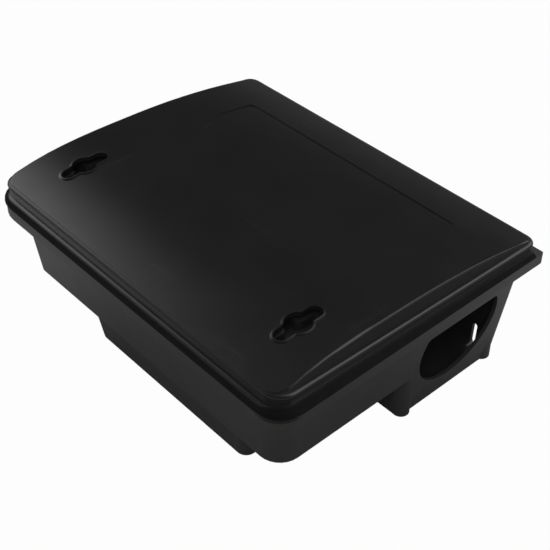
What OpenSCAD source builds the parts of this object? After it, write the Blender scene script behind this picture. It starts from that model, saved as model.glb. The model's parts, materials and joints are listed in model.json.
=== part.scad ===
// Lockable rodent bait station: a moulded base with a feeding tunnel along the back, a bait chamber
// in front of it, and a vaulted lid that swings up on two pins and is held by two key-turned locks.
// +X runs along the tunnel, +Y from the front to the hinge side, +Z up. The origin is on the ground,
// under the middle of the outline.

/* [Rim] */
// Length of the rim, left to right
rim_w = 242.4; // [234:0.2:264]
// Depth of the rim, front to back
rim_d = 195.2; // [189:0.2:215]
// Height of the rim's top edge above the ground
rim_z = 68; // [65:0.5:78]
// Height of the rim's outer face
rim_h = 7.4; // [6:0.2:8]
// Corner radius of the rim at the front
rim_r = 17; // [8:1:20]
// Corner radius of the rim at the hinge side
rim_back_r = 1.5; // [1:0.5:6]
// Thickness of the deck under the lid
deck_t = 2.4; // [2:0.1:3]
// Thickness of the rim's hanging lip
lip_t = 2.6; // [2:0.1:3.4]
// Radius of the lip's lower edge
lip_edge = 0.7; // [0.4:0.1:1.2]

/* [Base] */
// Thickness of the moulded walls and floors
wall = 2.2; // [1.8:0.1:2.8]
// Set-back of the walls under the rim
step_in = 0.8; // [0.4:0.1:1.5]
// Draft of the front, right and well walls in degrees
draft = 7; // [3:0.5:9]
// Draft of the back wall in degrees
back_draft = 2; // [1:0.5:5]
// Distance from the rim's left end to the left wall
left_in = 32.4; // [28:0.2:36]
// Distance from the rim's back edge to the back wall
back_in = 19.5; // [18:0.5:24]
// Height of the tray floor's underside
tray_z = 31.6; // [28:0.1:38]
// Corner radius of the tray at the front right
tray_r = 13; // [9:1:16]
// Corner radius of the tray at the front left
tray_left_r = 5; // [4:0.5:8]
// Radius of the moulded edge under the tray and the well
edge_r = 2; // [1:0.25:3]

/* [Well] */
// Length of the well's floor
well_w = 128.4; // [105:0.2:135]
// Depth of the well's floor, front to back
well_d = 60; // [46:1:62]
// Distance from the left wall to the well's floor
well_from_left = 40; // [36:0.5:46]
// Distance from the rim's front to the well's floor
well_from_front = 15.5; // [14:0.5:20]
// Corner radius of the well
well_r = 6; // [4:0.5:9]

/* [Tunnel] */
// Outside width of the tunnel at its floor
tunnel_w = 77.3; // [72:0.1:80]
// Height of the tunnel floor's underside above the ground
floor_z = 1; // [0.8:0.1:2]
// Width of the two skids under the tunnel
skid_w = 11; // [8:0.5:14]
// Corner radius of the tunnel at its ends
tunnel_r = 7; // [4:0.5:9]
// Set-back of the end panels behind the tray's wall
panel_in = 0.8; // [0.4:0.1:1.4]
// Distance from the back wall's foot to the middle of the entrances
hole_in = 40.1; // [38:0.1:42]
// Radius of the entrances
hole_r = 30; // [26:0.2:31]
// Height of the entrances' centre above the ground
hole_z = 42.6; // [38:0.2:46]
// Height of the flat top of the entrances
hole_top = 56.2; // [54:0.2:58]
// Radius of the corners at the flat top of the entrances
hole_corner = 3.5; // [2:0.5:5]
// Radius of the feet at the right end of the tunnel
foot_r = 5; // [4:0.5:6]
// Height at which the feet run into the drafted end panel
foot_h = 17; // [12:0.5:22]
// Width of the drain slots in the back wall
drain_w = 3.2; // [2.4:0.2:6]
// Height of the drain slots' lower end above the ground
drain_z = 0.8; // [0.6:0.1:2]
// Length of the drain slots
drain_l = 15; // [12:0.5:22]
// Distance from the tunnel's ends to the drain slots
drain_in = 12.5; // [10:0.1:20]
// Radius of the screw holes in the tunnel floor
fix_r = 2.75; // [2:0.25:3.5]
// Distance between the screw holes
fix_gap = 120; // [80:1:140]

/* [Lid] */
// Overhang of the lid's brim beyond its border
brim_out = 3.2; // [2.6:0.1:3.4]
// Corner radius of the lid's brim
brim_r = 15; // [12:0.5:18]
// Height of the brim's bulge at the front
brim_front_h = 5.4; // [4:0.2:6]
// Height of the brim's bulge at the back
brim_back_h = 2.2; // [1.8:0.1:3]
// Distance from the lid's back to the square end of its brim
brim_back = 5; // [4:0.5:9]
// Distance from the rim's back edge to the lid's back
lid_back_in = 2; // [1.5:0.1:2.5]
// Height of the lid's border above the rim at the front
lid_front_h = 12.5; // [11:0.5:15]
// Height of the lid's border above the rim at the back
lid_back_h = 7.2; // [6:0.2:9]
// Corner radius of the lid's border at the front
lid_r = 11; // [8:0.5:12]
// Corner radius of the lid's border at the back
lid_back_r = 7.5; // [6.5:0.5:10]
// Rise of the vault above the border
vault_h = 9.2; // [8:0.2:14]
// Fullness of the vault towards the front
vault_front = 3.4; // [2.8:0.1:4]
// Fullness of the vault towards the back
vault_back = 2; // [1.8:0.1:3]
// Thickness of the lid
lid_t = 2.2; // [1.8:0.1:2.6]
// Gap between the closed lid and the rim
lid_gap = 0.3; // [0.2:0.05:0.5]
// Length of the bare recessed panel
panel_w = 168; // [120:1:180]
// Depth of the bare recessed panel, front to back
panel_d = 30; // [20:1:32]
// Distance from the lid's middle to the recessed panel's front edge
panel_y = 36; // [30:1:44]
// Depth of the recess
recess = 0.4; // [0.2:0.1:0.8]

/* [Locks] */
// Distance from the ends of the lid's border to the middle of the key slots
slot_from_end = 29; // [26:0.5:34]
// Distance from the lid's border to the middle of the key slots
slot_y = 39; // [38:0.5:44]
// End-to-end length of the key slots
slot_l = 30; // [26:0.5:31]
// Width of the key slots' wings
slot_w = 8; // [6:0.5:9]
// Diameter of the round middle of the key slots
slot_d = 14.2; // [12:0.2:16]
// Radius of the lock barrels
barrel_r = 18; // [17.5:0.25:19]
// Running clearance of the lock barrels
lock_clear = 0.06; // [0.03:0.01:0.1]
// Width of the lock tongues
tongue_w = 9; // [7:0.5:11]
// Thickness of the lock tongues
tongue_t = 2.6; // [2:0.1:3]
// Gap between a locked tongue and its keeper
keeper_gap = 0.5; // [0.3:0.1:0.8]
// Thickness of the keepers' hooks
keeper_t = 2.4; // [1.8:0.1:2.8]
// Width of the keepers
keeper_w = 16; // [12:0.5:20]
// How far the keepers' hooks reach over the tongues
keeper_reach = 6; // [4:0.5:8]

/* [Hinge] */
// Distance from the rim's right end to the right hinge, and the same on the left
hinge_from_end = 41; // [33:1:60]
// Outside radius of the hinge knuckles
knuckle_r = 2.9; // [2.6:0.1:3.1]
// Length of one hinge knuckle
knuckle_l = 10; // [7:0.5:14]
// How far the knuckles stand out behind the rim
hinge_out = 2.4; // [2:0.1:2.6]
// Radius of the hinge pins
pin_r = 1.25; // [1:0.05:1.5]
// Running clearance of the hinge pins
pin_clear = 0.05; // [0.02:0.01:0.1]

/* [Inside] */
// Thickness of the bait tray
insert_t = 1.5; // [1.2:0.1:2]
// Height of the bait tray
insert_h = 27; // [18:0.5:30]
// Gap between the bait tray and the well
insert_gap = 0.6; // [0.4:0.1:1.2]
// Thickness of the baffle
baffle_t = 2; // [1.6:0.1:2.4]
// Radius of the baffle's doorway
door_r = 27; // [22:0.5:28]
// Radius of the bait rods
rod_r = 1.5; // [1.25:0.05:2]
// Distance between the two bait rods
rod_gap = 26; // [18:1:34]
// Height of the bait rods above the tray floor
rod_h = 11.5; // [7:0.5:14]
// Gap between loose pieces and their seats
seat_gap = 0.2; // [0.1:0.05:0.4]

/* [Hidden] */
$fn = 48;

// Segments of a moulded corner, and of the lid's sides along the vault
corner_n = 7;
side_n = 16;
// Overlap of joined solids and overshoot of cuts
lap = 0.6;
cut = 40;

// Detent nibs along the brim's lower edge
nib_out = 0.4;
nib_l = 10;
nib_h = 2.2;
nib_from_left = 52;
nib_from_front = 34;

// Outline of the rim and the draft as slopes
x_right = rim_w / 2;
x_left = -x_right;
y_front = (nib_out - rim_d - hinge_out) / 2;
y_back = y_front + rim_d;
slope = tan(draft);
back_slope = tan(back_draft);
rim_low = rim_z - rim_h;

// Walls of the base at height z
tub_left = x_left + left_in;
function right_at(z) = x_right - step_in - slope * (rim_low - z);
function front_at(z) = y_front + step_in + slope * (rim_low - z);
function back_at(z) = y_back - back_in - back_slope * (rim_low - z);
tunnel_front_low = back_at(floor_z) - tunnel_w;
function tunnel_front_at(z) = tunnel_front_low - slope * (z - floor_z);
tray_top = tray_z + wall;
floor_top = floor_z + wall;
tub_back = tunnel_front_at(tray_z) + tunnel_r;
hole_y = back_at(floor_z) - hole_in;
ridge_y = tunnel_front_at(tray_top);

// Well floor at the ground and its walls at height z
well_x0 = tub_left + well_from_left;
well_x1 = well_x0 + well_w;
well_y0 = y_front + well_from_front;
well_y1 = well_y0 + well_d;
well_mid_y = (well_y0 + well_y1) / 2;

// Lid: parting height, border plane and vault above the border
part_z = rim_z + lid_gap;
lid_x1 = x_right - brim_out;
lid_y0 = y_front + brim_out;
lid_y1 = y_back - lid_back_in;
lid_d = lid_y1 - lid_y0;
lid_mid = (lid_y0 + lid_y1) / 2;
vault_half = lid_d / 2 - 0.6;
function border(y) = rim_z + lid_front_h - (lid_front_h - lid_back_h) * (y - lid_y0) / lid_d;
function vault(y) =
    vault_h * (1 - pow(min(1, abs(y - lid_mid) / vault_half), y < lid_mid ? vault_front : vault_back));
function brim_h(y) = brim_front_h - (brim_front_h - brim_back_h) * (y - lid_y0) / lid_d;

// Lid profile: wall set in under the border, rounded border edge, strip and foot of the vault at the
// ends, and the brim's upright edge as a share of its height
lid_wall_in = 0.7;
border_edge = 1.5;
undercut_z = 3.2;
strip_w = 1.9;
vault_soft = 3;
crescent_w = 0.8;
brim_edge = 0.2;

// Locks
slot_x = lid_x1 - slot_from_end;
lock_y = lid_y0 + slot_y;
tongue_z = rim_z + 1.2;
retainer_z = tongue_z + tongue_t + 0.3;
retainer_t = 2;
boss_z = retainer_z + retainer_t;
boss_r = barrel_r + lock_clear + 2.2;
neck_r = barrel_r - 2.5;
barrel_z = boss_z + 0.3;
barrel_top = border(lock_y - boss_r) + vault(lock_y - boss_r) - lid_t - 0.8;
socket_depth = 5;
// Keepers stand just behind the lid's front wall, and the tongues reach them when turned to the front
keeper_foot = 4;
keeper_peg = 1.5;
keeper_front = lid_y0 + lid_wall_in + lid_t + 0.6;
keeper_back = keeper_front + keeper_foot;
tongue_l = lock_y - keeper_back - 0.6;
shelf_margin = 2;
shelf_back = keeper_back + keeper_reach;

// Hinge
hinge_x = x_right - hinge_from_end;
hinge_y = y_back + hinge_out - knuckle_r;
hinge_z = rim_z - 0.3 - knuckle_r;
bore_r = pin_r + pin_clear;
knuckle_gap = 0.4;
pin_l = 3 * knuckle_l + 2 * knuckle_gap;
arm_front = lid_y1 - lid_wall_in - lid_t;
notch_front = min(hinge_y - knuckle_r, arm_front) - 0.6;

// How far the drain slots reach into the floor
drain_deep = 6;

// Rod posts stand beside the well on the tray floor
post_t = 5;
post_w = rod_gap + 8;
post_x0 = well_x0 - 12;
post_x1 = well_x1 + 14;
rod_z = tray_top + rod_h;
rod_over = 4;
post_over = 4;
guide_w = 4;
baffle_low = 3;
guide_l = 5;

// Points of one rounded corner
function corner(cx, cy, r, a) =
    [for (i = [0 : corner_n]) [cx + r * cos(a + 90 * i / corner_n), cy + r * sin(a + 90 * i / corner_n)]];

// Rounded rectangle, anticlockwise from the front right
// The radii are those at the front left, front right, back right and back left
function outline(x0, x1, y0, y1, r) = concat(
    corner(x1 - r[1], y0 + r[1], r[1], -90), corner(x1 - r[2], y1 - r[2], r[2], 0),
    corner(x0 + r[3], y1 - r[3], r[3], 90), corner(x0 + r[0], y0 + r[0], r[0], 180));

// One level of a drafted box: an outline at height z
function level(x0, x1, y0, y1, r, z) = [for (p = outline(x0, x1, y0, y1, r)) [p[0], p[1], z]];

// Triangles between rings that lie one above the other
function band_faces(n, rings) = [
    for (k = [0 : rings - 2], i = [0 : n - 1], half = [0, 1])
        let (a = k * n + i, b = k * n + (i + 1) % n)
            half == 0 ? [a, a + n, b + n] : [a, b + n, b]
];

// Closed solid through flat rings of equal count, from the lowest to the highest
module loft(rings) {
    n = len(rings[0]);
    top = (len(rings) - 1) * n;
    polyhedron(
        points = [for (ring = rings, p = ring) p],
        faces = concat(
            [[for (i = [0 : n - 1]) i]],
            band_faces(n, len(rings)),
            [[for (i = [n - 1 : -1 : 0]) top + i]]));
}

// Drafted box with a rounded lower edge: sides(z) gives its left, right, front and back at height z
module moulded_box(sides, r, z0, z1, edge) {
    function ring(z, grow, rr) =
        let (s = sides(z)) level(s[0] - grow, s[1] + grow, s[2] - grow, s[3] + grow, rr, z);
    smaller = [for (v = r) max(0.5, v - edge)];
    loft(concat(
        edge > 0 ? [ring(z0, -edge, smaller), ring(z0 + 0.3 * edge, -0.3 * edge, r)] : [],
        [ring(z0 + edge, 0, r), ring(z1, 0, r)]));
}

// Exact prism of a rounded rectangle
module rounded_plate(x0, x1, y0, y1, r, z0, z1) {
    translate([0, 0, z0]) linear_extrude(z1 - z0) polygon(outline(x0, x1, y0, y1, r));
}

// Side positions of the base's three moulded hollows, grown inwards by t
tub_sides = function(t) function(z) [tub_left + t, right_at(z) - t, front_at(z) + t, tub_back];
tunnel_sides = function(t) function(z)
    [tub_left + panel_in + t, right_at(z) - panel_in - t, tunnel_front_at(z) + t, back_at(z) - t];
well_sides = function(t) function(z)
    let (g = slope * z - t) [well_x0 - g, well_x1 + g, well_y0 - g, well_y1 + g];

// Deck with a lip that hangs from its edge
module rim() {
    inner_r = max(1, rim_r - lip_t);
    difference() {
        moulded_box(function(z) [x_left, x_right, y_front, y_back],
            [rim_r, rim_r, rim_back_r, rim_back_r], rim_low, rim_z, lip_edge);
        rounded_plate(x_left + lip_t, x_right - lip_t, y_front + lip_t, y_back - lip_t,
            [inner_r, inner_r, 1, 1], rim_low - 1, rim_z - deck_t);
    }
}

module base_outside() {
    rim();
    moulded_box(tub_sides(0), [tray_left_r, tray_r, 2, 2], tray_z, rim_z - deck_t / 2, edge_r);
    moulded_box(tunnel_sides(0), [tunnel_r, tunnel_r, 3, 3], floor_z, rim_z - deck_t / 2, edge_r / 4);
    moulded_box(well_sides(0), [well_r, well_r, well_r, well_r], 0, tray_z + lap, edge_r);
    skids();
    feet();
}

// Two skids run the length of the tunnel under its front and back walls
module skids() {
    back_y = back_at(0);
    for (y0 = [tunnel_front_low, back_y - skid_w])
        moulded_box(
            function(z) [tub_left + panel_in + 1, right_at(z) - panel_in - 0.3, y0 + 0.3, y0 + skid_w - 0.3],
            [3, 3, 3, 3], 0, floor_z + lap, 1);
}

// Upright feet at the corners of the right end, which run into its drafted panel further up
module feet() {
    x = right_at(foot_h) - panel_in - foot_r;
    for (y = [tunnel_front_low + foot_r, back_at(0) - foot_r]) translate([x, y, 0]) {
        cylinder(r1 = foot_r - 1, r2 = foot_r, h = 1);
        translate([0, 0, 1]) cylinder(r = foot_r, h = foot_h);
    }
}

// Shelf behind the front wall that carries a lock's keeper
module lock_shelf(side) {
    shelf_w = keeper_w + 2 * shelf_margin;
    y0 = y_front + lip_t - lap;
    translate([side * slot_x - shelf_w / 2, y0, rim_z - deck_t])
        cube([shelf_w, shelf_back - y0, deck_t]);
}

module base_hollows() {
    moulded_box(tub_sides(wall), [tray_left_r - 1, tray_r - wall, 1, 1], tray_top, rim_z + cut, 1);
    moulded_box(tunnel_sides(wall), [tunnel_r - wall, tunnel_r - wall, 1.5, 1.5], floor_top, rim_z + cut, 1);
    moulded_box(well_sides(wall), [well_r - 1, well_r - 1, well_r - 1, well_r - 1], wall, tray_top + lap, 1);
}

// Round entrance with a flat top and rounded upper corners, cut along X at either end of the tunnel
module entrance(x0, x1) {
    l = x1 - x0;
    corner_z = hole_top - hole_corner;
    rise = corner_z - hole_z;
    corner_y = sqrt(pow(hole_r - hole_corner, 2) - pow(rise, 2));
    meet_z = hole_z + rise * hole_r / (hole_r - hole_corner);
    translate([x0, hole_y, 0]) {
        intersection() {
            translate([0, 0, hole_z]) rotate([0, 90, 0]) cylinder(r = hole_r, h = l, $fn = 96);
            translate([-1, -hole_r - 1, 0]) cube([l + 2, 2 * hole_r + 2, meet_z]);
        }
        translate([0, -corner_y, hole_z]) cube([l, 2 * corner_y, hole_top - hole_z]);
        for (s = [-1, 1]) translate([0, s * corner_y, corner_z]) rotate([0, 90, 0])
            cylinder(r = hole_corner, h = l);
    }
}

// Drain slot, rounded at both ends, through the back wall and the edge of the floor
module drain_slot(x) {
    r = drain_w / 2;
    translate([x, back_at(0) - wall - drain_deep, drain_z + r]) {
        for (z = [0, drain_l - drain_w]) translate([0, 0, z]) rotate([-90, 0, 0]) cylinder(r = r, h = cut);
        translate([-r, 0, 0]) cube([drain_w, cut, drain_l - drain_w]);
    }
}

// Places a child at the left and the right hinge
module at_hinges() {
    for (side = [-1, 1]) translate([side * hinge_x, hinge_y, hinge_z]) children();
}

// A cylinder along X, centred
module bar(r, l) {
    rotate([0, 90, 0]) cylinder(r = r, h = l, center = true);
}

module base_knuckles() {
    at_hinges() for (side = [-1, 1])
        translate([side * (knuckle_l + knuckle_gap), 0, 0]) bar(knuckle_r, knuckle_l);
}

module hinge_notches() {
    at_hinges()
        translate([-knuckle_l / 2 - knuckle_gap, notch_front - hinge_y, -cut / 2])
            cube([knuckle_l + 2 * knuckle_gap, cut, cut]);
}

// Posts that hold the ends of the bait rods in open notches
module rod_posts() {
    for (x = [post_x0, post_x1]) translate([x - post_t / 2, well_mid_y - post_w / 2, tray_top - lap])
        cube([post_t, post_w, rod_h + post_over + lap]);
}

module rod_notches() {
    for (x = [post_x0, post_x1], s = [-1, 1]) translate([x, well_mid_y + s * rod_gap / 2, rod_z]) {
        bar(rod_r + 0.05, post_t + 2);
        translate([-post_t / 2 - 1, -rod_r - 0.05, 0]) cube([post_t + 2, 2 * rod_r + 0.1, cut]);
    }
}

// Guides on the end walls that the baffle slides down between
module baffle_guides() {
    h = rim_z - deck_t - tray_top;
    x0 = tub_left + wall + guide_l;
    x1 = right_at(tray_top) - wall - guide_l;
    off = baffle_t / 2 + seat_gap;
    intersection() {
        for (y = [ridge_y - off - guide_w, ridge_y + off], x = [x0 - cut, x1])
            translate([x, y, tray_top - lap]) cube([cut, guide_w, h + lap]);
        moulded_box(tub_sides(wall / 2), [1, 1, 1, 1], tray_z, rim_z - deck_t / 2, 0);
    }
}

module base() {
    color([0.09, 0.095, 0.09]) difference() {
        union() {
            difference() {
                union() {
                    base_outside();
                    base_knuckles();
                }
                base_hollows();
            }
            for (side = [-1, 1]) lock_shelf(side);
            rod_posts();
            baffle_guides();
        }
        entrance(right_at(hole_z) - 12, x_right + cut);
        entrance(tub_left - 10, tub_left + panel_in + wall + 6);
        for (x = [tub_left + drain_in, right_at(0) - drain_in]) drain_slot(x);
        for (s = [-1, 1]) translate([s * fix_gap / 2 + (tub_left + right_at(0)) / 2, hole_y, -1])
            cylinder(r = fix_r, h = floor_top + 3);
        hinge_notches();
        at_hinges() bar(bore_r, pin_l + 2);
        rod_notches();
        for (side = [-1, 1]) translate([side * slot_x, keeper_front + keeper_foot / 2, rim_z - cut / 4])
            cylinder(r = keeper_peg + seat_gap / 4, h = cut / 2);
    }
}

// Vault profile across Y, lifted by rise, down to the parting plane
module vault_block(rise) {
    steps = 28;
    inset = 2;
    ys = [for (i = [0 : steps]) lid_y0 + inset + (lid_d - 2 * inset) * i / steps];
    crown = [for (y = ys) [y, border(y) + vault(y) + rise]];
    rotate([90, 0, 90]) linear_extrude(2 * lid_x1 - 8, center = true)
        polygon(concat([[ys[0], part_z + 1]], crown, [[ys[steps], part_z + 1]]));
}

// One ring of the lid: its set-in at the ends, front and back, its corner radii and its height at y
function lid_ring(ends, front, back, r, r_back, height) =
    let (
        x1 = lid_x1 - ends, y0 = lid_y0 + front, y1 = lid_y1 - back,
        near = corner(x1 - r, y0 + r, r, -90), far = corner(x1 - r_back, y1 - r_back, r_back, 0),
        ya = y0 + r, yb = y1 - r_back,
        flank = [for (i = [1 : side_n - 1]) [x1, ya + (yb - ya) * i / side_n]],
        right = concat(near, flank, far), m = len(right))
    concat(
        [for (p = right) [p[0], p[1], height(p[1])]],
        [for (i = [m - 1 : -1 : 0]) [-right[i][0], right[i][1], height(right[i][1])]]);

// Ring with the same set-in all round
function even_ring(inset, height) = lid_ring(inset, inset, inset, lid_r - inset, lid_back_r - inset, height);

// Ring of the brim, which ends squarely before the lid's back
function brim_ring(out, height) = lid_ring(-out, -out, brim_back, brim_r - brim_out + out, lap, height);

// Ring of the vault, set in further at the ends, where it stands up from the border
function vault_ring(ends, front, height) =
    lid_ring(ends, front, front, lid_r - ends, lid_back_r - ends, height);

// Solid through lid rings; its top is ruled from side to side, so it may be vaulted
module lid_loft(rings) {
    n = len(rings[0]);
    m = n / 2;
    top = (len(rings) - 1) * n;
    polyhedron(
        points = [for (ring = rings, p = ring) p],
        faces = concat(
            [[for (i = [0 : n - 1]) i]],
            band_faces(n, len(rings)),
            [for (i = [0 : m - 2], half = [0, 1])
                let (a = top + i, b = top + n - 1 - i)
                    half == 0 ? [a, b, b - 1] : [a, b - 1, a + 1]]));
}

// Height of a lid ring as a share of the brim's height, from the parting plane
share = function(f) function(y) part_z + f * brim_h(y);
// Height of a lid ring above the border
above = function(h) function(y) border(y) + h;
// Height of a lid ring below the vault's top, by less where the vault runs out
under_vault = function(d) function(y)
    border(y) + max(0.06, vault(y) - d * min(1, vault(y) / vault_soft));

// Wall with a rounded border edge, and the vault
module lid_wall() {
    edge = [for (a = [0 : 22.5 : 90]) [border_edge * (1 - cos(a)), border_edge * (sin(a) - 1)]];
    foot = strip_w + crescent_w;
    lid_loft(concat(
        [even_ring(lid_wall_in, share(0)), even_ring(lid_wall_in, above(-undercut_z))],
        [for (p = edge) even_ring(p[0], above(p[1]))],
        [vault_ring(strip_w, border_edge + 0.1, above(0.05)),
         vault_ring(foot, border_edge + 0.3, under_vault(0.8)),
         vault_ring(foot + 0.5, border_edge + 0.6, under_vault(0.25)),
         vault_ring(foot + 1.4, border_edge + 1.2, under_vault(0))]));
}

// Brim with an upright edge and a bulging top that runs into the wall
module lid_brim() {
    inner = lid_wall_in + lap;
    bulge = [for (a = [0 : 15 : 90])
        [(brim_out + inner) * cos(a) - inner, brim_edge + (1 - brim_edge) * sin(a)]];
    lid_loft(concat(
        [brim_ring(brim_out, share(0))],
        [for (p = bulge) brim_ring(p[0], share(p[1]))]));
}

// Inside of the lid, under the wall and the vault
module lid_hollow() {
    w = lid_wall_in + lid_t;
    in = w + 2.6;
    lid_loft([
        even_ring(w, function(y) part_z - 1),
        even_ring(w, above(-lid_t - 0.2)),
        even_ring(in, function(y) border(y) + max(0.4, vault(y)) - lid_t)]);
}

// Channel under the brim
module brim_channel() {
    out = brim_out - lid_t;
    channel = function(y) part_z + max(0.1, brim_h(y) - lid_t);
    for_height = function(height) lid_ring(-out, -out, brim_back + lid_t, brim_r - lid_t, 1, height);
    lid_loft([for_height(function(y) part_z - 1), for_height(channel)]);
}

// Outline of a key slot: a round middle with a wing at either end, grown by g
module key_outline(g) {
    circle(d = slot_d + 2 * g);
    wing = (slot_l - slot_w) / 2;
    square([slot_w + 2 * g, 2 * wing], center = true);
    for (s = [-1, 1]) translate([0, s * wing]) circle(d = slot_w + 2 * g);
}

module at_locks() {
    for (side = [-1, 1]) translate([side * slot_x, lock_y, 0]) children();
}

// Raised bead round the key slots, and the bosses that the barrels turn in
module lock_bosses() {
    intersection() {
        at_locks() translate([0, 0, part_z]) linear_extrude(cut) key_outline(1.2);
        difference() {
            vault_block(0.5);
            vault_block(-lid_t / 2);
        }
    }
    intersection() {
        at_locks() translate([0, 0, boss_z]) difference() {
            cylinder(r = boss_r, h = cut, $fn = 96);
            translate([0, 0, -1]) cylinder(r = barrel_r + lock_clear, h = cut + 2, $fn = 96);
        }
        vault_block(-lid_t / 2);
    }
}

module lid_knuckles() {
    at_hinges() {
        bar(knuckle_r, knuckle_l);
        translate([-knuckle_l / 2, arm_front - hinge_y, 0])
            cube([knuckle_l, hinge_y - arm_front, part_z + 1.2 - hinge_z]);
    }
}

// Small detent nibs along the lower edge of the brim
module nib() {
    rotate([90, 0, 90]) linear_extrude(nib_l, center = true)
        polygon([[-lap, 0.5], [nib_out, 0.5], [0, nib_h], [-lap, nib_h]]);
}

module brim_nibs() {
    for (x = [nib_from_left - lid_x1, slot_x])
        translate([x, lid_y0 - brim_out, part_z]) mirror([0, 1, 0]) nib();
    for (side = [-1, 1])
        translate([side * (lid_x1 + brim_out), lid_y0 + nib_from_front, part_z]) rotate(-side * 90) nib();
}

module lid() {
    color([0.05, 0.052, 0.05]) difference() {
        union() {
            difference() {
                union() {
                    lid_wall();
                    lid_brim();
                }
                lid_hollow();
                brim_channel();
            }
            lock_bosses();
            lid_knuckles();
            brim_nibs();
        }
        at_locks() translate([0, 0, part_z]) linear_extrude(cut) key_outline(0);
        intersection() {
            rounded_plate(-panel_w / 2, panel_w / 2, lid_mid + panel_y, lid_mid + panel_y + panel_d,
                [4, 4, 4, 4], part_z, part_z + cut);
            difference() {
                vault_block(3);
                vault_block(-recess);
            }
        }
        at_hinges() bar(bore_r, knuckle_l + 2);
    }
}

module hinge_pin(side) {
    color([0.72, 0.73, 0.74]) translate([side * hinge_x, hinge_y, hinge_z]) bar(pin_r, pin_l);
}

// Barrel with a four-way key socket and a tongue that swings under the keeper
module lock_barrel(side) {
    color([0.07, 0.072, 0.07]) translate([side * slot_x, lock_y, 0]) difference() {
        union() {
            translate([0, 0, barrel_z]) cylinder(r = barrel_r, h = barrel_top - barrel_z, $fn = 96);
            translate([0, 0, tongue_z]) cylinder(r = neck_r, h = barrel_z - tongue_z + lap, $fn = 96);
            translate([side < 0 ? 0 : -tongue_l + tongue_w / 2, -tongue_w / 2, tongue_z])
                cube([tongue_l - tongue_w / 2, tongue_w, tongue_t]);
            translate([-side * (tongue_l - tongue_w / 2), 0, tongue_z]) cylinder(d = tongue_w, h = tongue_t);
        }
        translate([0, 0, barrel_top - socket_depth]) linear_extrude(cut) {
            key_outline(-0.4);
            rotate(90) key_outline(-0.4);
        }
    }
}

// Ring under the boss that keeps the barrel in the lid
module lock_retainer(side) {
    color([0.16, 0.16, 0.16]) translate([side * slot_x, lock_y, retainer_z]) difference() {
        cylinder(r = boss_r, h = retainer_t, $fn = 96);
        translate([0, 0, -1]) cylinder(r = neck_r + lock_clear, h = retainer_t + 2, $fn = 96);
    }
}

// Hook on the base that the tongue turns under, with a peg down through the deck or shelf
module lock_keeper(side) {
    top = tongue_z + tongue_t + keeper_gap;
    peg_l = deck_t + 2;
    color([0.16, 0.16, 0.16]) translate([side * slot_x, keeper_front, rim_z]) {
        translate([-keeper_w / 2, 0, 0]) cube([keeper_w, keeper_foot, top - rim_z + keeper_t]);
        translate([-keeper_w / 2, 0, top - rim_z]) cube([keeper_w, keeper_foot + keeper_reach, keeper_t]);
        translate([0, keeper_foot / 2, -peg_l]) cylinder(r = keeper_peg, h = peg_l + lap);
    }
}

// Plate between the tunnel and the bait chamber, with an arched doorway
module baffle() {
    x0 = tub_left + wall + seat_gap;
    x1 = right_at(tray_top) - wall - seat_gap;
    z0 = tray_top + seat_gap;
    h = rim_z - baffle_low - z0;
    color([0.1, 0.1, 0.1]) difference() {
        translate([x0, ridge_y - baffle_t / 2, z0]) cube([x1 - x0, baffle_t, h]);
        translate([(x0 + x1) / 2, ridge_y, z0]) rotate([90, 0, 0])
            cylinder(r = door_r, h = cut, center = true, $fn = 96);
    }
}

// Loose tray that fills the well
module bait_tray() {
    g = wall + insert_gap;
    r = well_r - 1;
    q = r - 1;
    z0 = wall + seat_gap;
    color([0.13, 0.13, 0.13]) difference() {
        moulded_box(well_sides(g), [r, r, r, r], z0, z0 + insert_h, 1);
        moulded_box(well_sides(g + insert_t), [q, q, q, q], z0 + insert_t, z0 + insert_h + cut, 1);
    }
}

// Steel rod that bait blocks are threaded on
module bait_rod(s) {
    l = post_x1 - post_x0 + post_t + 2 * rod_over;
    color([0.7, 0.71, 0.72])
        translate([(post_x0 + post_x1) / 2, well_mid_y + s * rod_gap / 2, rod_z]) bar(rod_r, l);
}

base();
lid();
hinge_pin(-1);  // hinge_pin_left
hinge_pin(1);  // hinge_pin_right
lock_barrel(-1);  // lock_barrel_left
lock_barrel(1);  // lock_barrel_right
lock_retainer(-1);  // lock_retainer_left
lock_retainer(1);  // lock_retainer_right
lock_keeper(-1);  // lock_keeper_left
lock_keeper(1);  // lock_keeper_right
baffle();
bait_tray();
bait_rod(-1);  // bait_rod_front
bait_rod(1);  // bait_rod_back
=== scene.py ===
"""Studio scene of a closed, lockable rodent bait station in black moulded plastic."""

import json
import math

import bpy
from mathutils import Matrix, Vector

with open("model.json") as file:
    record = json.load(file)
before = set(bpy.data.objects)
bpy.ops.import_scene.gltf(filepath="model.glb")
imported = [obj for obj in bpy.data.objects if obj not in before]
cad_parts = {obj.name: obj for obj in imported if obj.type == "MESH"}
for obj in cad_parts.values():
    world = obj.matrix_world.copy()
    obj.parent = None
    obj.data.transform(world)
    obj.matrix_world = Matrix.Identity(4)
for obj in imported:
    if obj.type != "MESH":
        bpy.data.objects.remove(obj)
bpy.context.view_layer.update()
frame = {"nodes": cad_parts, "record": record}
scene = bpy.context.scene
scene.view_settings.view_transform = "Standard"

MM = 0.001

# Camera, fitted to the photograph's edges: its angles, and its place set out from the lid's border
VIEW_AZIMUTH = math.radians(47.67)
VIEW_ELEVATION = math.radians(39.83)
VIEW_ROLL = math.radians(0.43)
VIEW_CENTRE = Vector((0, -0.4, 80.5)) * MM
VIEW_OFFSET = Vector((6.95, -38.50)) * MM
VIEW_DISTANCE = 619.65 * MM
FOCAL_PIXELS = 1121.93
PHOTO_PIXELS = 550
SENSOR_WIDTH = 36
NEAREST_SEEN = 0.01

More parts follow.
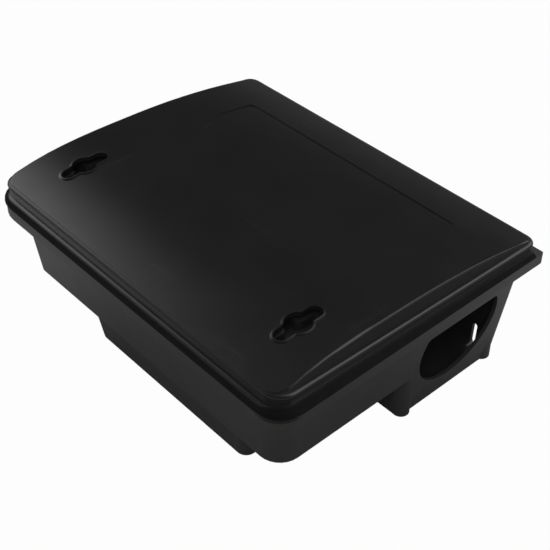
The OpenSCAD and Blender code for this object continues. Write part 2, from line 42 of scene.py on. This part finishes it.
# The lid: its front, the tops of its brim and border there, and how these fall towards the back
LID_FRONT = -95.4 * MM
BRIM_TOP, BORDER_TOP = 73.7 * MM, 80.5 * MM
BRIM_FALL, BORDER_FALL = 3.2 / 190, 5.3 / 190

# The matt foot of the lid's brim, painted near black as painted shade for the shadowed groove under the
# brim: its painted shade colour and its roughness, its height against the brim's top along the front and at
# the ends, where it starts to rise towards the ends, and the width of its soft edge
BRIM_SHADE_COLOUR = (0.0025, 0.0026, 0.0025)
BRIM_ROUGHNESS = 0.95
BRIM_MATT, BRIM_MATT_ENDS = -1.9 * MM, -0.6 * MM
BRIM_BEND = 104 * MM
BRIM_EDGE = 1.2 * MM

# The lid's upright wall, shaded as if it leaned: its soft edges against the brim's top and against the
# border's top, and how far it leans
WALL_FOOT = (-0.4 * MM, 0.2 * MM)
WALL_TOP = (-3.4 * MM, -2.8 * MM)
WALL_LEAN = 0.8

# The matt ends of the lid's vault: their place, their soft edges outwards and above the border, their finish
END_X = 115.1 * MM
END_EDGE = 0.3 * MM
END_FOOT = (0.2 * MM, 0.6 * MM)
END_ROUGHNESS = 0.75

# The lid's vault: its middle, half its depth, its height, its fullness to the front and the back, and how
# close to its true normal the mesh has to be, as a cosine, to take it over
VAULT_MIDDLE, VAULT_HALF = -0.4 * MM, 94.4 * MM
VAULT_HEIGHT = 9.2 * MM
VAULT_FRONT, VAULT_BACK = 3.4, 2.0
VAULT_MATCH = (0.985, 0.996)

# The lid's key slots: their places, the ends of their wings, their radii, and the bead's place and height
SLOT_X, SLOT_Y = 89 * MM, -56.4 * MM
SLOT_REACH = 11 * MM
SLOT_WING, SLOT_MIDDLE = 4 * MM, 7.1 * MM
BEAD_START, BEAD_END = 0.3 * MM, 1.8 * MM
BEAD_HEIGHT = 0.22 * MM

# Plastic: the middle of a noise's range, scuffs along X and along Y, and how much they lighten and roughen
NOISE_RANGE = (0.3, 0.7)
SCUFF_SCALE, SCUFF_DETAIL = 160, 3
SCUFFS_ALONG = ((0.12, 1, 1), 0.63, 0.74)
SCUFFS_ACROSS = ((1, 0.1, 1), 0.64, 0.76)
SCUFF_SHARE, SCUFF_LIGHTER, SCUFF_ROUGHER = 0.08, 1.8, 0.03

# Plastic: its clouds, the unevenness of its roughness, its sink marks and its grain
CLOUD_SCALE, CLOUD_DETAIL = 28, 3
SHINE_SCALE, SHINE_DETAIL, SHINE_SPREAD = 75, 4, 0.015
SINK_SCALE, SINK_DEPTH, SINK_STRENGTH = 90, 0.4 * MM, 0.03
GRAIN_STRENGTH = 0.35

# Steel: its colours and their clouds, and its drawn lines
STEEL_DARK, STEEL_LIGHT = (0.50, 0.51, 0.52), (0.64, 0.64, 0.63)
STEEL_CLOUD_SCALE = 45
LINE_SCALE, LINE_STRETCH = 2600, (0.02, 1, 1)
LINE_ROUGHNESS = (0.25, 0.75, 0.22, 0.38)
LINE_DEPTH, LINE_STRENGTH = 0.02 * MM, 0.3

# Smoothing: vertices closer than this are joined, edges flatter than this are smooth, and the weight of
# large faces
MERGE_DISTANCE = 0.005 * MM
SMOOTH_ANGLE = math.radians(32)
FACE_WEIGHT = 80

# Floor: its half width, its height just under the feet, its finish, how much of it glows to the camera, and
# how much to glossy and transmission rays, which fades out towards the object's near corner as a painted
# shadow seen only in reflections
FLOOR_SIZE = 6.0
FLOOR_Z = -0.1 * MM
FLOOR_COLOUR = (0.22, 0.22, 0.22)
FLOOR_ROUGHNESS = 0.9
FLOOR_SEEN = 0.98
FLOOR_MIRRORED = 0.30
FLOOR_SHADOW_CENTRE = (0.07, -0.07, 0)
FLOOR_NEAR, FLOOR_FAR = 0.08, 0.25

# Lamps: name, place, target, size and power
LAMPS = (
    ("overhead_softbox", (-0.45, 0.45, 1.15), (0, 0, 0.05), (1.2, 1.2), 8),
    ("front_fill", (0.45, -0.55, 0.7), (0.05, 0, 0.03), (0.5, 0.4), 2.6),
)

# World: an even fill for diffuse rays, and for glossy rays a bright horizon and three soft banks of light, at
# the left, at the front left and behind on the right: each its strength, and where along the axes it starts
# and is full
FILL = 0.42
HORIZON = 0.36
HORIZON_LOW, HORIZON_HIGH = 0.05, 0.35
CEILING = 0.02
BANKS = (
    (3.8, (("X", -0.4, -0.6), ("Y", 0.38, -0.15), ("Y", -0.55, -0.2),
           ("Z", 0.81, 0.65), ("Z", 0.2, 0.5))),
    (1.3, (("X", -0.55, -0.75), ("Y", -0.3, -0.5), ("Z", 0.5, 0.3))),
    (2.4, (("X", -0.35, -0.08), ("Y", 0.1, 0.4), ("Z", 0.33, 0.45))),
)


def make_camera():
    sin_a, cos_a = math.sin(VIEW_AZIMUTH), math.cos(VIEW_AZIMUTH)
    sin_e, cos_e = math.sin(VIEW_ELEVATION), math.cos(VIEW_ELEVATION)
    back = Vector((sin_a * cos_e, -cos_a * cos_e, sin_e))
    level = Vector((cos_a, sin_a, 0))
    upright = back.cross(level)
    right = level * math.cos(VIEW_ROLL) + upright * math.sin(VIEW_ROLL)
    up = upright * math.cos(VIEW_ROLL) - level * math.sin(VIEW_ROLL)
    data = bpy.data.cameras.new("camera")
    data.sensor_width = SENSOR_WIDTH
    data.lens = FOCAL_PIXELS / PHOTO_PIXELS * SENSOR_WIDTH
    data.clip_start = NEAREST_SEEN
    camera = bpy.data.objects.new("camera", data)
    scene.collection.objects.link(camera)
    place = VIEW_CENTRE + right * VIEW_OFFSET.x + up * VIEW_OFFSET.y + back * VIEW_DISTANCE
    camera.matrix_world = Matrix.Translation(place) @ Matrix((right, up, back)).transposed().to_4x4()
    scene.camera = camera


make_camera()


class Nodes:
    """Short ways to add and link the nodes of one shader tree. A value is a socket, a number or a tuple."""

    def __init__(self, tree):
        self.tree = tree

    def add(self, kind, **values):
        node = self.tree.nodes.new(kind)
        for key, value in values.items():
            setattr(node, key, value)
        return node

    def link(self, value, socket):
        if isinstance(value, (int, float, tuple)):
            socket.default_value = value
        else:
            self.tree.links.new(value, socket)

    def math(self, operation, first, second=0.0):
        node = self.add("ShaderNodeMath", operation=operation)
        self.link(first, node.inputs[0])
        self.link(second, node.inputs[1])
        return node.outputs[0]

    def spread(self, value, low, high, to_low=0.0, to_high=1.0):
        """Maps one range to another, smoothly and held at both ends."""
        node = self.add("ShaderNodeMapRange", interpolation_type="SMOOTHSTEP")
        for name, number in (("From Min", low), ("From Max", high), ("To Min", to_low), ("To Max", to_high)):
            node.inputs[name].default_value = number
        self.link(value, node.inputs["Value"])
        return node.outputs["Result"]

    def vector(self, operation, first, second=None):
        node = self.add("ShaderNodeVectorMath", operation=operation)
        self.link(first, node.inputs[0])
        if second is not None:
            self.link(second, node.inputs["Scale" if operation == "SCALE" else 1])
        return node.outputs["Value" if operation in ("DOT_PRODUCT", "DISTANCE") else "Vector"]

    def axes(self, value):
        node = self.add("ShaderNodeSeparateXYZ")
        self.link(value, node.inputs[0])
        return node.outputs

    def length(self, first, second):
        squares = [self.math("MULTIPLY", value, value) for value in (first, second)]
        return self.math("SQRT", self.math("ADD", *squares))

    def mirrored_rays(self, path):
        return self.math("MAXIMUM", path.outputs["Is Glossy Ray"], path.outputs["Is Transmission Ray"])


class Shading(Nodes):
    """A new material with its Principled shader, drawn in the object's own coordinates."""

    def __init__(self, name):
        self.material = bpy.data.materials.new(name)
        self.material.use_nodes = True
        super().__init__(self.material.node_tree)
        self.shader = self.tree.nodes["Principled BSDF"]
        self.place = self.add("ShaderNodeTexCoord").outputs["Object"]

    def noise(self, scale, detail=2.0, stretch=(1, 1, 1)):
        """Noise with so many features to the metre, drawn out along the axes with a small factor."""
        mapping = self.add("ShaderNodeMapping")
        mapping.inputs["Scale"].default_value = stretch
        self.link(self.place, mapping.inputs["Vector"])
        node = self.add("ShaderNodeTexNoise")
        node.inputs["Scale"].default_value = scale
        node.inputs["Detail"].default_value = detail
        self.link(mapping.outputs[0], node.inputs["Vector"])
        return node.outputs["Fac"]

    def mix(self, kind, suffix, factor, first, second):
        node = self.add("ShaderNodeMix", data_type=kind)
        self.link(factor, node.inputs["Factor"])
        inputs = {socket.identifier: socket for socket in node.inputs}
        self.link(first, inputs["A_" + suffix])
        self.link(second, inputs["B_" + suffix])
        return next(socket for socket in node.outputs if socket.identifier == "Result_" + suffix)

    def blend(self, factor, first, second):
        """Mixes two colours, each a socket or three numbers."""
        colours = [(*c, 1) if isinstance(c, tuple) else c for c in (first, second)]
        return self.mix("RGBA", "Color", factor, *colours)

    def to_world(self, normal):
        """Turns a normal in the object's own coordinates to the world's."""
        node = self.add(
            "ShaderNodeVectorTransform", vector_type="NORMAL", convert_from="OBJECT", convert_to="WORLD")
        self.link(normal, node.inputs[0])
        return node.outputs[0]

    def bump(self, height, distance, strength, below=None):
        node = self.add("ShaderNodeBump")
        node.inputs["Distance"].default_value = distance
        node.inputs["Strength"].default_value = strength
        self.link(height, node.inputs["Height"])
        if below is not None:
            self.link(below, node.inputs["Normal"])
        return node.outputs["Normal"]

    def finish(self, colour, roughness, normal):
        self.link(colour, self.shader.inputs["Base Color"])
        self.link(roughness, self.shader.inputs["Roughness"])
        self.link(normal, self.shader.inputs["Normal"])
        return self.material


def moulded_plastic(name, dark, light, roughness, specular, grain, grain_depth, forms=None):
    """Moulded plastic: cloudy colour, handling scuffs, and a fine grain of so many pits to the metre."""
    s = Shading(name)
    s.shader.inputs["Specular IOR Level"].default_value = specular
    along, across = (
        s.spread(s.noise(SCUFF_SCALE, SCUFF_DETAIL, stretch), low, high)
        for stretch, low, high in (SCUFFS_ALONG, SCUFFS_ACROSS))
    scuffs = s.math("MAXIMUM", along, across)
    colour = s.blend(s.spread(s.noise(CLOUD_SCALE, CLOUD_DETAIL), *NOISE_RANGE), dark, light)
    worn = tuple(SCUFF_LIGHTER * c for c in light)
    colour = s.blend(s.math("MULTIPLY", scuffs, SCUFF_SHARE), colour, worn)
    shine = s.spread(
        s.noise(SHINE_SCALE, SHINE_DETAIL), *NOISE_RANGE, roughness - SHINE_SPREAD, roughness + SHINE_SPREAD)
    shine = s.math("ADD", shine, s.math("MULTIPLY", scuffs, SCUFF_ROUGHER))
    below = None
    if forms is not None:
        brim, end, wall, bead = forms(s)
        below = lean_up(s, vault_normal(s), s.math("MULTIPLY", wall, WALL_LEAN))
    normal = s.bump(s.noise(SINK_SCALE), SINK_DEPTH, SINK_STRENGTH, below)
    if forms is not None:
        # painted shade: the brim's foot is darkened to near black to stand in for the shadow in the groove
        # under the brim
        colour = s.blend(brim, colour, BRIM_SHADE_COLOUR)
        for mask, matt in ((brim, BRIM_ROUGHNESS), (end, END_ROUGHNESS)):
            shine = s.math("ADD", shine, s.math("MULTIPLY", mask, matt - roughness))
        normal = s.bump(bead, BEAD_HEIGHT, 1, normal)
    normal = s.bump(s.noise(grain), grain_depth, GRAIN_STRENGTH, normal)
    return s.finish(colour, shine, normal)


def vault_normal(s):
    """The true normal of the lid's vault where the mesh is close to it, and the mesh's own elsewhere."""
    from_middle = s.math("SUBTRACT", s.axes(s.place)["Y"], VAULT_MIDDLE)
    share = s.math("MINIMUM", s.math("DIVIDE", s.math("ABSOLUTE", from_middle), VAULT_HALF), 1)
    front, back = (
        s.math("MULTIPLY", s.math("POWER", share, fullness - 1), fullness * VAULT_HEIGHT / VAULT_HALF)
        for fullness in (VAULT_FRONT, VAULT_BACK))
    in_front = s.math("LESS_THAN", from_middle, 0)
    behind = s.math("SUBTRACT", 1, in_front)
    lean = s.math("SUBTRACT", s.math("MULTIPLY", back, behind), s.math("MULTIPLY", front, in_front))
    true = s.add("ShaderNodeCombineXYZ")
    s.link(s.math("ADD", lean, BORDER_FALL), true.inputs["Y"])
    true.inputs["Z"].default_value = 1
    level = s.vector("NORMALIZE", s.to_world(true.outputs[0]))
    mesh = s.add("ShaderNodeNewGeometry").outputs["Normal"]
    close = s.spread(s.vector("DOT_PRODUCT", mesh, level), *VAULT_MATCH)
    return s.mix("VECTOR", "Vector", close, mesh, level)


def lean_up(s, normal, amount):
    """Leans a normal towards the object's own Z."""
    lean = s.vector("SCALE", s.to_world((0, 0, 1)), amount)
    return s.vector("NORMALIZE", s.vector("ADD", normal, lean))


def lid_forms(s):
    """Masks on the lid: its brim's matt foot, which also carries painted shade, its vault's matt ends, its
    upright wall, its slots' bead.
    """
    x, y, z = s.axes(s.place)
    out = s.math("ABSOLUTE", x)
    back = s.math("SUBTRACT", y, LID_FRONT)
    over_brim, over_border = (
        s.math("SUBTRACT", z, s.math("SUBTRACT", top, s.math("MULTIPLY", back, fall)))
        for top, fall in ((BRIM_TOP, BRIM_FALL), (BORDER_TOP, BORDER_FALL)))
    foot = s.spread(out, BRIM_BEND, END_X, BRIM_MATT, BRIM_MATT_ENDS)
    # the brim's foot: a matt band that also takes the painted shade
    brim = s.spread(s.math("SUBTRACT", over_brim, foot), 0, BRIM_EDGE, 1, 0)
    wall = s.math("MULTIPLY", s.spread(over_brim, *WALL_FOOT), s.spread(over_border, *WALL_TOP, 1, 0))
    end = s.math("MULTIPLY", s.spread(over_border, *END_FOOT), s.spread(out, END_X, END_X + END_EDGE))
    side = s.math("SUBTRACT", out, SLOT_X)
    along = s.math("ABSOLUTE", s.math("SUBTRACT", y, SLOT_Y))
    beyond = s.math("MAXIMUM", s.math("SUBTRACT", along, SLOT_REACH), 0)
    wing = s.math("SUBTRACT", s.length(side, beyond), SLOT_WING)
    middle = s.math("SUBTRACT", s.length(side, along), SLOT_MIDDLE)
    bead = s.spread(s.math("MINIMUM", wing, middle), BEAD_START, BEAD_END, 1, 0)
    return brim, end, wall, bead


def drawn_steel(name):
    """Plated wire with fine lines drawn along X."""
    s = Shading(name)
    s.shader.inputs["Metallic"].default_value = 1
    lines = s.noise(LINE_SCALE, CLOUD_DETAIL, LINE_STRETCH)
    clouds = s.spread(s.noise(STEEL_CLOUD_SCALE, CLOUD_DETAIL), *NOISE_RANGE)
    colour = s.blend(clouds, STEEL_DARK, STEEL_LIGHT)
    return s.finish(colour, s.spread(lines, *LINE_ROUGHNESS), s.bump(lines, LINE_DEPTH, LINE_STRENGTH))


FINISHES = {
    "base_plastic": moulded_plastic(
        "base_plastic", dark=(0.0245, 0.0250, 0.0240), light=(0.0285, 0.0290, 0.0275),
        roughness=0.40, specular=0.5, grain=1500, grain_depth=0.05 * MM),
    "lid_plastic": moulded_plastic(
        "lid_plastic", dark=(0.0098, 0.0101, 0.0097), light=(0.0112, 0.0115, 0.0110),
        roughness=0.24, specular=0.35, grain=2200, grain_depth=0.02 * MM, forms=lid_forms),
    "lock_plastic": moulded_plastic(
        "lock_plastic", dark=(0.017, 0.017, 0.017), light=(0.021, 0.021, 0.020),
        roughness=0.6, specular=0.2, grain=1800, grain_depth=0.02 * MM),
    "insert_plastic": moulded_plastic(
        "insert_plastic", dark=(0.02, 0.02, 0.019), light=(0.028, 0.028, 0.027),
        roughness=0.48, specular=0.35, grain=1200, grain_depth=0.05 * MM),
    "steel": drawn_steel("steel"),
}


def smooth_group():
    """Geometry nodes that join split vertices and shade smooth across edges flatter than a limit."""
    group = bpy.data.node_groups.new("smooth_by_angle", "GeometryNodeTree")
    group.interface.new_socket("Geometry", in_out="INPUT", socket_type="NodeSocketGeometry")
    group.interface.new_socket("Geometry", in_out="OUTPUT", socket_type="NodeSocketGeometry")
    add = group.nodes.new
    start, end = add("NodeGroupInput"), add("NodeGroupOutput")
    merge = add("GeometryNodeMergeByDistance")
    merge.inputs["Distance"].default_value = MERGE_DISTANCE
    normal = add("GeometryNodeSetMeshNormal")
    normal.mode = "SHARPNESS"
    normal.inputs["Remove Custom"].default_value = True
    angle = add("GeometryNodeInputMeshEdgeAngle")
    sharp = add("FunctionNodeCompare")
    sharp.data_type = "FLOAT"
    sharp.operation = "GREATER_THAN"
    sharp.inputs[1].default_value = SMOOTH_ANGLE
    link = group.links.new
    link(start.outputs[0], merge.inputs["Geometry"])
    link(merge.outputs[0], normal.inputs["Mesh"])
    link(angle.outputs["Unsigned Angle"], sharp.inputs[0])
    link(sharp.outputs[0], normal.inputs["Edge Sharpness"])
    link(normal.outputs[0], end.inputs[0])
    return group


SMOOTH = smooth_group()


def dress(node, material):
    piece = frame["nodes"][node]
    piece.data.materials.clear()
    piece.data.materials.append(material)
    smooth = piece.modifiers.new("smooth", "NODES")
    smooth.node_group = SMOOTH
    weighted = piece.modifiers.new("weighted", "WEIGHTED_NORMAL")
    weighted.keep_sharp = True
    weighted.weight = FACE_WEIGHT


for subpart in frame["record"]["subparts"]:
    dress(subpart["node"], FINISHES[subpart["material_slot"]])


def make_floor():
    mesh = bpy.data.meshes.new("floor")
    half = FLOOR_SIZE
    corners = [(x, y, FLOOR_Z) for x, y in ((-half, -half), (half, -half), (half, half), (-half, half))]
    mesh.from_pydata(corners, [], [(0, 1, 2, 3)])
    floor = bpy.data.objects.new("floor", mesh)
    scene.collection.objects.link(floor)
    s = Shading("floor_white")
    s.shader.inputs["Base Color"].default_value = (*FLOOR_COLOUR, 1)
    s.shader.inputs["Roughness"].default_value = FLOOR_ROUGHNESS
    path = s.add("ShaderNodeLightPath")
    seen = s.math("MULTIPLY", path.outputs["Is Camera Ray"], FLOOR_SEEN)
    # painted shadow: the glow that glossy and transmission rays see is dimmed round a point by the object's
    # near corner
    away = s.vector("DISTANCE", s.place, FLOOR_SHADOW_CENTRE)
    shadowed_glow = s.spread(away, FLOOR_NEAR, FLOOR_FAR, 0, FLOOR_MIRRORED)
    mirrored = s.math("MULTIPLY", s.mirrored_rays(path), shadowed_glow)
    glow = s.add("ShaderNodeEmission")
    mix = s.add("ShaderNodeMixShader")
    s.link(s.math("ADD", seen, mirrored), mix.inputs[0])
    s.link(s.shader.outputs[0], mix.inputs[1])
    s.link(glow.outputs[0], mix.inputs[2])
    s.link(mix.outputs[0], s.tree.nodes["Material Output"].inputs["Surface"])
    mesh.materials.append(s.material)


make_floor()


def area_light(name, place, target, size, power):
    data = bpy.data.lights.new(name, "AREA")
    data.shape = "RECTANGLE"
    data.size, data.size_y = size
    data.energy = power
    light = bpy.data.objects.new(name, data)
    scene.collection.objects.link(light)
    light.location = place
    aim = Vector(target) - Vector(place)
    light.rotation_euler = aim.to_track_quat("-Z", "Y").to_euler()
    light.visible_glossy = False


for lamp in LAMPS:
    area_light(*lamp)


def make_world():
    world = bpy.data.worlds.new("studio")
    scene.world = world
    world.use_nodes = True
    w = Nodes(world.node_tree)
    direction = w.add("ShaderNodeTexCoord").outputs["Generated"]
    axes = w.axes(direction)
    light = w.spread(axes["Z"], HORIZON_LOW, HORIZON_HIGH, HORIZON, CEILING)
    for strength, fades in BANKS:
        bank = strength
        for axis, none, full in fades:
            bank = w.math("MULTIPLY", bank, w.spread(axes[axis], none, full))
        light = w.math("ADD", light, bank)
    path = w.add("ShaderNodeLightPath")
    mirrored = w.mirrored_rays(path)
    fill = w.math("MULTIPLY", w.math("SUBTRACT", 1, mirrored), FILL)
    shown = w.math("MULTIPLY", mirrored, light)
    level = w.math("MAXIMUM", w.math("ADD", fill, shown), path.outputs["Is Camera Ray"])
    background = w.tree.nodes["Background"]
    background.inputs["Color"].default_value = (1, 1, 1, 1)
    w.link(level, background.inputs["Strength"])


make_world()
